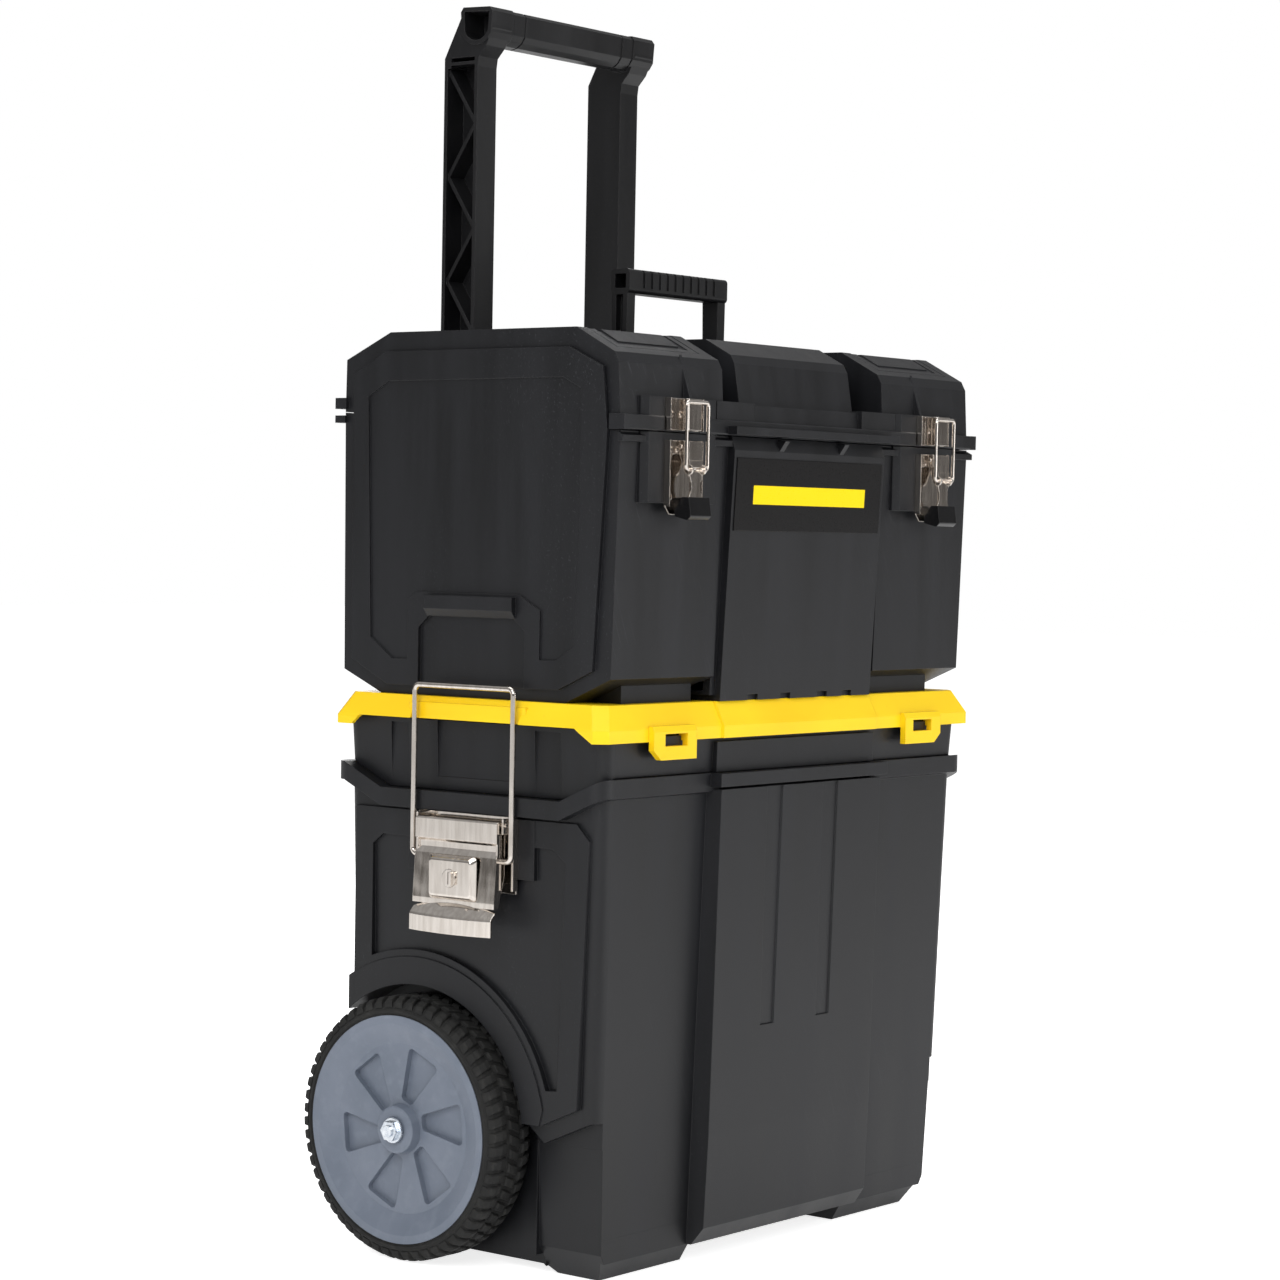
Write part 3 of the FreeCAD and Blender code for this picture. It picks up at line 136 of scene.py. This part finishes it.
# --- finishes -----------------------------------------------------------------------------------
def moulded_plastic(name, dark, light, roughness, flow=1.0, scuffs=1.0):
    """Injection-moulded plastic: fine spark texture, vertical flow marks, faint handling scratches."""
    f = Finish(name, roughness, specular=0.36)
    flow_marks = f.noise((34, 34, 3.2), 4)
    broad = f.noise((7, 7, 5), 3)
    grain = f.noise((1700, 1700, 1700), 2)
    scratch_a = f.between(f.noise((900, 900, 9), 2, (0, 24, 14)), 0.665, 0.70)
    scratch_b = f.between(f.noise((700, 700, 11), 2, (63, -31, 5)), 0.675, 0.71)
    either = f.maths("MAXIMUM", scratch_a, scratch_b)
    scratches = f.maths("MULTIPLY", either, f.between(broad, 0.45, 0.62, 0, scuffs))
    tone = f.mix(f.between(flow_marks, 0.35, 0.68, 0, flow), dark, light)
    tone = f.mix(f.between(broad, 0.4, 0.75, 0, 0.5), tone, light)
    tone = f.mix(f.maths("MULTIPLY", scratches, 0.35), tone, [min(1.0, c * 3.2 + 0.02) for c in light])
    rough = f.between(flow_marks, 0.3, 0.7, roughness - 0.05, roughness + 0.06)
    f.wire(colour=tone, roughness=f.maths("ADD", rough, f.maths("MULTIPLY", scratches, 0.12)))
    return f.relief((flow_marks, 0.0006, 0.10 * flow), (grain, 0.00006, 0.55), (scratches, 0.00005, 0.4))


def yellow_plastic():
    f = Finish("yellow_plastic", 0.38, specular=0.45)
    broad = f.noise((9, 9, 14), 3)
    grain = f.noise((1500, 1500, 1500), 2)
    dust = f.between(f.noise((260, 260, 260), 4), 0.66, 0.78)
    tone = f.mix(f.between(broad, 0.35, 0.7), (0.98, 0.62, 0.003), (1.0, 0.70, 0.006))
    tone = f.mix(f.maths("MULTIPLY", dust, 0.22), tone, (0.62, 0.36, 0.01))
    f.wire(colour=tone, roughness=f.between(broad, 0.3, 0.7, 0.33, 0.45))
    return f.relief((grain, 0.00005, 0.4))


def hub_plastic():
    f = Finish("hub_plastic", 0.45, specular=0.4)
    broad = f.noise((22, 22, 22), 4)
    grain = f.noise((1300, 1300, 1300), 2)
    flow_marks = f.between(f.noise((10, 120, 120), 3), 0.5, 0.75)
    tone = f.mix(f.between(broad, 0.35, 0.7), (0.135, 0.160, 0.205), (0.175, 0.200, 0.250))
    tone = f.mix(f.maths("MULTIPLY", flow_marks, 0.25), tone, (0.24, 0.27, 0.32))
    f.wire(colour=tone, roughness=f.between(broad, 0.3, 0.7, 0.38, 0.52))
    return f.relief((grain, 0.00006, 0.5))


def tyre_rubber():
    """Matt rubber, with grey scuffs where the tread has rolled."""
    f = Finish("tyre_rubber", 0.78, specular=0.3)
    patch = f.noise((45, 45, 45), 5)
    grain = f.noise((900, 900, 900), 3)
    scuff = f.between(f.noise((320, 120, 120), 5), 0.52, 0.74)
    tone = f.mix(f.between(patch, 0.35, 0.7), (0.010, 0.010, 0.010), (0.021, 0.021, 0.020))
    tone = f.mix(f.maths("MULTIPLY", scuff, 0.35), tone, (0.055, 0.053, 0.050))
    f.wire(colour=tone, roughness=f.between(patch, 0.3, 0.7, 0.68, 0.88))
    return f.relief((grain, 0.00012, 0.7), (patch, 0.0004, 0.3))


def plated_metal(name, dark, light, low, high, streak_scale, waviness):
    """Plated sheet: soft drawing streaks, waves in the reflection, and small marks."""
    f = Finish(name, high, metallic=1.0)
    streaks = f.noise(streak_scale, 4)
    waves = f.noise((38, 38, 38), 1)
    spots = f.between(f.noise((420, 420, 420), 3), 0.70, 0.78)
    tone = f.mix(f.between(streaks, 0.35, 0.68), dark, light)
    tone = f.mix(f.maths("MULTIPLY", spots, 0.3), tone, [c * 0.45 for c in dark])
    rough = f.maths("ADD", f.between(streaks, 0.3, 0.7, low, high), f.maths("MULTIPLY", spots, 0.15))
    f.wire(colour=tone, roughness=rough)
    return f.relief((waves, 0.0016, waviness))


def label_film():
    """Black satin film with one plain yellow bar."""
    bar_half_x, bar_low, bar_high, edge = 0.066, 0.5172, 0.5296, 0.0003
    f = Finish("label_film", 0.30, specular=0.22, coat=0.06, coat_roughness=0.3)
    side = f.node("ShaderNodeMath", {0: f.axis("X")}, operation="ABSOLUTE").outputs[0]
    across = f.between(side, bar_half_x, bar_half_x + edge, 1.0, 0.0)
    above = f.between(f.axis("Z"), bar_low - edge, bar_low)
    below = f.between(f.axis("Z"), bar_high, bar_high + edge, 1.0, 0.0)
    bar = f.maths("MULTIPLY", across, f.maths("MULTIPLY", above, below))
    print_grain = f.noise((1100, 1100, 1100), 2)
    black = f.mix(f.between(print_grain, 0.35, 0.7), (0.0018, 0.0014, 0.0016), (0.0032, 0.0025, 0.0028))
    f.wire(colour=f.mix(bar, black, (1.0, 0.72, 0.0)), roughness=f.between(print_grain, 0.3, 0.7, 0.26, 0.36))
    return f.relief((print_grain, 0.00002, 0.3))


finishes = {
    "black_plastic": moulded_plastic("black_plastic", (0.0048, 0.0050, 0.0060), (0.0098, 0.0102, 0.0124),
                                     roughness=0.42),
    "handle_plastic": moulded_plastic("handle_plastic", (0.0050, 0.0050, 0.0056), (0.0100, 0.0100, 0.0112),
                                      roughness=0.38, flow=0.6, scuffs=0.6),
    "tip_plastic": moulded_plastic("tip_plastic", (0.0050, 0.0050, 0.0056), (0.0085, 0.0085, 0.0092),
                                   roughness=0.17, flow=0.3, scuffs=0.4),
    "yellow_plastic": yellow_plastic(),
    "grey_plastic": hub_plastic(),
    "tyre_rubber": tyre_rubber(),
    "nickel": plated_metal("nickel", (0.60, 0.55, 0.50), (0.74, 0.69, 0.64), 0.07, 0.13,
                           streak_scale=(300, 300, 30), waviness=0.16),
    "zinc": plated_metal("zinc", (0.52, 0.56, 0.62), (0.80, 0.84, 0.88), 0.20, 0.36,
                         streak_scale=(260, 260, 260), waviness=0.12),
    "label_film": label_film(),
}
for part in frame["record"]["subparts"]:
    piece = nodes[part["node"]]
    piece.data.materials.clear()
    piece.data.materials.append(finishes[part["material_slot"]])


# --- treaded tyres --------------------------------------------------------------------------------
def around(axle, x, radius, turn):
    """Point at a distance and a turn from the wheel's axis."""
    return (x, axle.y + radius * math.cos(turn), axle.z + radius * math.sin(turn))


def ring_points(mesh, axle, x, radius, count):
    return [mesh.verts.new(around(axle, x, radius, 2 * math.pi * i / count)) for i in range(count)]


def lathe(mesh, axle, profile, count):
    """Closed turned ring from (x, radius) points."""
    rings = [ring_points(mesh, axle, x, radius, count) for x, radius in profile]
    for a, b in zip(rings, rings[1:] + rings[:1]):
        for i in range(count):
            j = (i + 1) % count
            mesh.faces.new((a[i], a[j], b[j], b[i]))


def tread_block(mesh, axle, x_run, turn_run, lean, top, depth):
    """One block of tread: a curved brick whose ends lean, narrower at its top."""
    steps = 4
    layers = []
    for level, inset in ((0.0, 0.0), (0.75, 0.06), (1.0, 0.14)):
        loop_grid = []
        for u in (inset, 0.5, 1 - inset):
            x = x_run[0] + (x_run[1] - x_run[0]) * u
            row = []
            for k in range(steps + 1):
                v = inset + (1 - 2 * inset) * k / steps
                turn = turn_run[0] + (turn_run[1] - turn_run[0]) * v + lean * (u - 0.5)
                radius = top(x) - depth * (1 - level)
                row.append(mesh.verts.new(around(axle, x, radius, turn)))
            loop_grid.append(row)
        layers.append(loop_grid)
    outline = [(0, k) for k in range(steps + 1)] + [(1, steps)]
    outline += [(2, k) for k in range(steps, -1, -1)] + [(1, 0)]
    for low, high in zip(layers, layers[1:]):
        for (a, b), (c, d) in zip(outline, outline[1:] + outline[:1]):
            mesh.faces.new((low[a][b], low[c][d], high[c][d], high[a][b]))
    for grid, flip in ((layers[0], True), (layers[-1], False)):
        for u in range(2):
            for k in range(steps):
                face = [grid[u][k], grid[u][k + 1], grid[u + 1][k + 1], grid[u + 1][k]]
                mesh.faces.new(face[::-1] if flip else face)


def build_tyre(side, sign):
    """Tyre with three staggered rows of blocks, over the CAD tyre's own section."""
    low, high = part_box(f"tyre_{side}")
    axle = (low + high) / 2
    radius = (high.z - low.z) / 2
    hub_low, hub_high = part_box(f"hub_{side}")
    rim = (hub_high.z - hub_low.z) / 2
    inner, outer = (low.x, high.x) if sign > 0 else (high.x, low.x)
    width = abs(outer - inner)

    def at(distance):
        return inner + sign * distance

    def crown(x):
        """Radius of the block tops across the width, with round shoulders."""
        edge = min(abs(x - inner), abs(x - outer))
        return radius - 0.0060 * max(0.0, 1 - edge / 0.008) ** 2.2

    floor = radius - TREAD_DEPTH
    wall = 0.0055
    profile = [(at(0.0006), rim), (at(0.0004), rim + 0.003), (at(0.0016), floor - wall),
               (at(0.004), floor - 0.0022), (at(0.009), floor),
               (at(width - 0.009), floor), (at(width - 0.004), floor - 0.0022),
               (at(width - 0.0016), floor - wall), (at(width - 0.0009), rim + 0.0042),
               (at(width - 0.0001), rim + 0.0036), (at(width - 0.0001), rim + 0.0018),
               (at(width - 0.0011), rim + 0.0012), (at(width - 0.0011), rim)]
    mesh = bmesh.new()
    lathe(mesh, axle, profile, LATHE_STEPS)
    pitch = 2 * math.pi / TREAD_PITCHES
    rows = [(0.0012, 0.0130, 0.0, 0.30), (0.0148, width - 0.0148, 0.5, -0.42),
            (width - 0.0130, width - 0.0012, 0.0, 0.30)]
    for start, end, offset, lean in rows:
        for i in range(TREAD_PITCHES):
            begin = (i + offset) * pitch
            tread_block(mesh, axle, (at(start), at(end)), (begin, begin + pitch * BLOCK_SHARE), lean * pitch,
                        crown, TREAD_DEPTH + BLOCK_ROOT)
    bmesh.ops.recalc_face_normals(mesh, faces=mesh.faces)
    data = bpy.data.meshes.new(f"treaded_tyre_{side}")
    mesh.to_mesh(data)
    mesh.free()
    tyre = bpy.data.objects.new(f"treaded_tyre_{side}", data)
    bpy.context.scene.collection.objects.link(tyre)
    for polygon in data.polygons:
        polygon.use_smooth = False
    data.materials.append(finishes["tyre_rubber"])
    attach(tyre, f"wheel_{side}")
    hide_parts(f"tyre_{side}")


build_tyre("right", 1)
build_tyre("left", -1)


# --- floor, light and camera ------------------------------------------------------------------------
def pale_floor():
    """A wide pale floor, which glows towards the camera so that it meets the white backdrop evenly."""
    seen_glow, lighting_glow = 0.80, 0.40
    f = Finish("pale_floor", 0.85, specular=0.1)
    f.shader.inputs["Base Color"].default_value = (0.90, 0.90, 0.90, 1.0)
    f.shader.inputs["Emission Color"].default_value = (1.0, 1.0, 1.0, 1.0)
    drop = 0.0004
    seen = f.node("ShaderNodeLightPath").outputs["Is Camera Ray"]
    f.links.new(f.between(seen, 0.0, 1.0, lighting_glow, seen_glow), f.shader.inputs["Emission Strength"])
    mesh = bmesh.new()
    half = 14.0
    corners = [mesh.verts.new((x * half, y * half, 0.0)) for x, y in ((-1, -1), (1, -1), (1, 1), (-1, 1))]
    mesh.faces.new(corners)
    data = bpy.data.meshes.new("floor")
    mesh.to_mesh(data)
    mesh.free()
    floor = bpy.data.objects.new("floor", data)
    floor.location = (0, 0, -drop)
    bpy.context.scene.collection.objects.link(floor)
    data.materials.append(f.material)


def soft_light(name, place, aim, width, height, power):
    data = bpy.data.lights.new(name, "AREA")
    data.shape = "RECTANGLE"
    data.size, data.size_y, data.energy = width, height, power
    lamp = bpy.data.objects.new(name, data)
    lamp.location = place
    lamp.rotation_euler = (Vector(aim) - Vector(place)).to_track_quat("-Z", "Y").to_euler()
    bpy.context.scene.collection.objects.link(lamp)


def studio():
    world = bpy.data.worlds.new("studio")
    world.use_nodes = True
    tree = world.node_tree
    backdrop = tree.nodes["Background"]
    backdrop.inputs["Color"].default_value = (1.0, 1.0, 1.0, 1.0)
    backdrop.inputs["Strength"].default_value = 1.0
    # The room that lights the box is dim at the sides and bright overhead, so plated parts show contrast.
    room = tree.nodes.new("ShaderNodeBackground")
    room.inputs["Strength"].default_value = 0.42
    way = tree.nodes.new("ShaderNodeTexCoord")
    height = tree.nodes.new("ShaderNodeSeparateXYZ")
    bands = tree.nodes.new("ShaderNodeValToRGB")
    bands.color_ramp.elements[0].position = 0.40
    bands.color_ramp.elements[0].color = (0.62, 0.60, 0.57, 1.0)
    bands.color_ramp.elements[1].position = 0.80
    bands.color_ramp.elements[1].color = (1.0, 1.0, 1.0, 1.0)
    dark = bands.color_ramp.elements.new(0.53)
    dark.color = (0.30, 0.29, 0.285, 1.0)
    half_up = tree.nodes.new("ShaderNodeMapRange")
    half_up.inputs["From Min"].default_value = -1.0
    camera_ray = tree.nodes.new("ShaderNodeLightPath")
    choose = tree.nodes.new("ShaderNodeMixShader")
    for a, b in ((way.outputs["Generated"], height.inputs[0]), (height.outputs["Z"], half_up.inputs["Value"]),
                 (half_up.outputs[0], bands.inputs[0]), (bands.outputs[0], room.inputs["Color"]),
                 (camera_ray.outputs["Is Camera Ray"], choose.inputs[0]), (room.outputs[0], choose.inputs[1]),
                 (backdrop.outputs[0], choose.inputs[2]),
                 (choose.outputs[0], tree.nodes["World Output"].inputs["Surface"])):
        tree.links.new(a, b)
    bpy.context.scene.world = world
    middle = (0, 0, 0.42)
    soft_light("key", (-2.3, -0.9, 1.7), middle, 1.3, 1.7, 34)
    soft_light("front", (0.7, -2.6, 1.1), middle, 1.6, 1.6, 26)
    soft_light("top", (-0.2, 0.2, 2.5), middle, 1.8, 1.8, 24)
    soft_light("rim", (1.9, 1.9, 1.5), middle, 1.2, 1.6, 18)


def camera():
    """Long lens from the front left, slightly above the middle of the box."""
    turn, pitch, roll = math.radians(51.8), math.radians(3.5), math.radians(-1.1)
    ahead = Vector((math.sin(turn) * math.cos(pitch), math.cos(turn) * math.cos(pitch), -math.sin(pitch)))
    level = Vector((math.cos(turn), -math.sin(turn), 0))
    down = ahead.cross(level)
    right = level * math.cos(roll) + down * math.sin(roll)
    below = down * math.cos(roll) - level * math.sin(roll)
    data = bpy.data.cameras.new("camera")
    data.sensor_width, data.lens = 36.0, 92.03
    data.shift_x, data.shift_y = -0.0037, 0.076
    eye = bpy.data.objects.new("camera", data)
    axes = Matrix((right, -below, -ahead)).transposed().to_4x4()
    eye.matrix_world = Matrix.Translation((-1.8511, -1.4394, 0.4935)) @ axes
    bpy.context.scene.collection.objects.link(eye)
    bpy.context.scene.camera = eye


pale_floor()
studio()
camera()
bpy.context.scene.view_settings.view_transform = "Standard"
